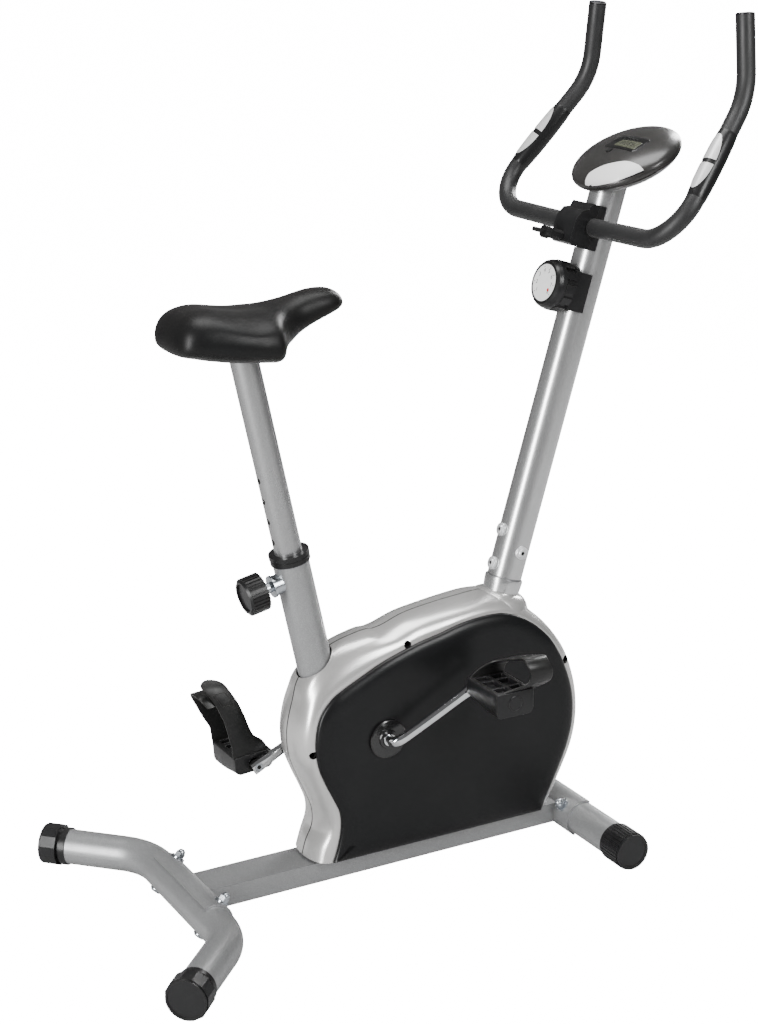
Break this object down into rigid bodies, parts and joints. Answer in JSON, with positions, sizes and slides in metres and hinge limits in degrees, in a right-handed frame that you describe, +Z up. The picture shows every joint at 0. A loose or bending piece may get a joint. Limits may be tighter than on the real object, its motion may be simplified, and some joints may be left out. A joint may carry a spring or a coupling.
{
  "type": "upright exercise bike",
  "caption": "Upright magnetic exercise bike with a bent rear foot, transport rollers, closed casing, sliding saddle post, strapped pedals, U handlebar and tilted console.",
  "frame": {"origin": "middle of the whole bike's box on the floor, with the crank axle about 38 mm behind it", "axes": "+X forwards from the saddle to the handlebar, +Y to the rider's left, +Z up"},
  "size_m": [0.9071, 0.5418, 1.1926],
  "materials": {
    "frame_grey": "satin metallic",
    "post_silver": "satin metallic",
    "casing_silver": "satin",
    "cover_black": "semi-gloss",
    "trim_black": "satin",
    "zinc": "bright zinc",
    "chrome": "polished",
    "bar_black": "satin",
    "grip_foam": "soft satin",
    "saddle_vinyl": "satin vinyl over foam",
    "wheel_iron": "turned",
    "belt_rubber": "matt",
    "dial_white": "satin",
    "contact_steel": "satin",
    "lens_clear": "clear",
    "display_grey": "satin"
  },
  "bodies": {
    "frame": {"base_beam": "frame_grey", "rear_stabiliser": "frame_grey", "front_stabiliser": "frame_grey", "stabiliser_bolts": "zinc", "rear_end_sleeves": "trim_black", "front_roller_axles": "trim_black", "seat_tube": "frame_grey", "seat_tube_collar": "trim_black", "pin_boss": "zinc", "front_frame": "frame_grey", "bottom_bracket": "frame_grey", "bearing_cups": "zinc", "flywheel_bearings": "zinc", "shell_right": "casing_silver", "shell_left": "casing_silver", "cover_right": "cover_black", "cover_left": "cover_black", "shell_screws": "trim_black", "drive_belt": "belt_rubber", "handlebar_post": "post_silver", "post_bolts": "zinc", "tension_box": "trim_black", "tension_cable": "zinc", "bar_cradle": "trim_black", "clamp_cover": "trim_black", "console_base": "cover_black", "console_top": "cover_black", "console_lens": "lens_clear", "console_circuit": "display_grey", "brake_spring": "zinc"},
    "rear_cap_right": {"rear_cap_right": "trim_black"},
    "rear_cap_left": {"rear_cap_left": "trim_black"},
    "front_roller_right": {"front_roller_right": "trim_black"},
    "front_roller_left": {"front_roller_left": "trim_black"},
    "crank": {"crank": "chrome", "hub_discs": "cover_black", "drive_pulley": "trim_black", "pedal_spindles": "zinc"},
    "pedal_right": {"pedal_right": "trim_black", "pedal_strap_right": "trim_black"},
    "pedal_left": {"pedal_left": "trim_black", "pedal_strap_left": "trim_black"},
    "flywheel": {"flywheel": "wheel_iron"},
    "saddle": {"seat_post": "post_silver", "saddle_base": "trim_black", "saddle_cushion": "saddle_vinyl", "saddle_bolts": "zinc"},
    "locking_pin": {"seat_pin": "zinc", "seat_knob": "trim_black"},
    "tension_knob": {"tension_knob": "trim_black", "tension_dial": "dial_white"},
    "brake_arm": {"magnet_arm": "zinc"},
    "handlebar": {"handlebar": "bar_black", "handlebar_grips": "grip_foam", "bar_end_plugs": "trim_black", "pulse_housings": "trim_black", "pulse_plates": "contact_steel"},
    "console_button": {"console_button": "contact_steel"},
    "clamp_bolt": {"clamp_bolt": "trim_black"}
  },
  "joints": [
    {"name": "flywheel_spin", "type": "hinge", "parent": "frame", "child": "flywheel", "pos_m": [0.16739, 0, 0.165], "axis": [0, 1, 0], "continuous": true},
    {"name": "crank_spin", "type": "hinge", "parent": "frame", "child": "crank", "pos_m": [-0.03761, 0, 0.224], "axis": [0, 1, 0], "continuous": true},
    {"name": "pedal_right_spin", "type": "hinge", "parent": "crank", "child": "pedal_right", "pos_m": [0.09245, -0.14, 0.29462], "axis": [0, 1, 0], "continuous": true},
    {"name": "pedal_left_spin", "type": "hinge", "parent": "crank", "child": "pedal_left", "pos_m": [-0.16768, 0.14, 0.15338], "axis": [0, 1, 0], "continuous": true},
    {"name": "seat_slide", "type": "slide", "parent": "frame", "child": "saddle", "axis": [-0.2122, 0, 0.9772], "range_m": [-0.15, 0.06]},
    {"name": "seat_pin_push", "type": "slide", "parent": "frame", "child": "locking_pin", "axis": [0.9772, 0, 0.2122], "range_m": [0, 0.012]},
    {"name": "tension_knob_turn", "type": "hinge", "parent": "frame", "child": "tension_knob", "pos_m": [0.25921, 0, 0.82173], "axis": [-0.9577, 0, 0.2877], "range_deg": [0, 300]},
    {"name": "brake_arm_swing", "type": "hinge", "parent": "frame", "child": "brake_arm", "pos_m": [0.15239, 0, 0.277], "axis": [0, 1, 0], "range_deg": [-3, 0], "deforming": ["brake_spring"]},
    {"name": "handlebar_tilt", "type": "hinge", "parent": "frame", "child": "handlebar", "pos_m": [0.30935, 0, 0.90002], "axis": [0, 1, 0], "range_deg": [-25, 20]},
    {"name": "clamp_bolt_turn", "type": "hinge", "parent": "frame", "child": "clamp_bolt", "pos_m": [0.26919, 0, 0.88973], "axis": [-0.9577, 0, 0.2877], "range_deg": [-180, 180]},
    {"name": "console_button_press", "type": "slide", "parent": "frame", "child": "console_button", "axis": [0.4384, 0, -0.8988], "range_m": [0, 0.0015], "stiffness_N_per_m": 500, "springref_m": -0.0005},
    {"name": "rear_cap_right_turn", "type": "hinge", "parent": "frame", "child": "rear_cap_right", "pos_m": [-0.42244, -0.23982, 0.028], "axis": [-0.7071, -0.7071, 0], "range_deg": [0, 180]},
    {"name": "rear_cap_left_turn", "type": "hinge", "parent": "frame", "child": "rear_cap_left", "pos_m": [-0.42244, 0.23982, 0.028], "axis": [-0.7071, 0.7071, 0], "range_deg": [-180, 0]},
    {"name": "front_roller_right_spin", "type": "hinge", "parent": "frame", "child": "front_roller_right", "pos_m": [0.28839, -0.172, 0.028], "axis": [0, 1, 0], "continuous": true},
    {"name": "front_roller_left_spin", "type": "hinge", "parent": "frame", "child": "front_roller_left", "pos_m": [0.28839, 0.172, 0.028], "axis": [0, 1, 0], "continuous": true}
  ],
  "couplings": [
    {"joint": "crank_spin", "follows": "flywheel_spin", "ratio": 0.22222},
    {"joint": "brake_arm_swing", "follows": "tension_knob_turn", "ratio": -0.01}
  ]
}
